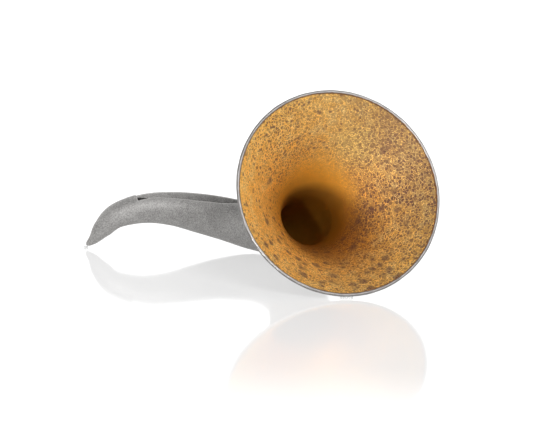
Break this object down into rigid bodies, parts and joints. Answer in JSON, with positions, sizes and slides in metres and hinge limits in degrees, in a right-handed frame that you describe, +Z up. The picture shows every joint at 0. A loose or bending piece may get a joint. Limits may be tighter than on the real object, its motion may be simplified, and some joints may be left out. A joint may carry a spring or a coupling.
{
  "type": "horn loudspeaker",
  "caption": "Passive acoustic horn loudspeaker for a phone: an arched cast body with a phone slot in its back, a pointed tail and a wide gilded bell.",
  "frame": {"origin": "on the surface that the horn stands on, under the middle of its bounding box", "axes": "+Z up; +X from the pointed tail towards the bell; the bell's mouth faces -Y, turned 16.5 degrees to +X and tilted 25 degrees up"},
  "size_m": [0.2479, 0.165, 0.1318],
  "materials": {
    "cast_metal": "fine-grained cast, satin",
    "rim_metal": "polished edge",
    "gilding": "gilded, speckled in purple-brown",
    "steel": "plain",
    "felt": "felt",
    "silicone": "clear silicone, faintly milky",
    "rubber": "matt"
  },
  "bodies": {
    "root": {"slot_body": "cast_metal", "elbow": "cast_metal", "tail_leg": "cast_metal", "tail_dowel": "steel", "tail_screw": "steel", "throat_liner": "gilding", "bell_shell": "cast_metal", "bell_lining": "gilding", "rim_bead": "rim_metal", "joint_seal": "rubber", "slot_floor_pad": "rubber", "slot_pad_front": "felt", "slot_pad_back": "felt", "slot_end_pad_left": "felt", "slot_end_pad_right": "felt", "tail_foot": "silicone", "belly_foot": "silicone", "rim_foot": "silicone"}
  },
  "joints": []
}
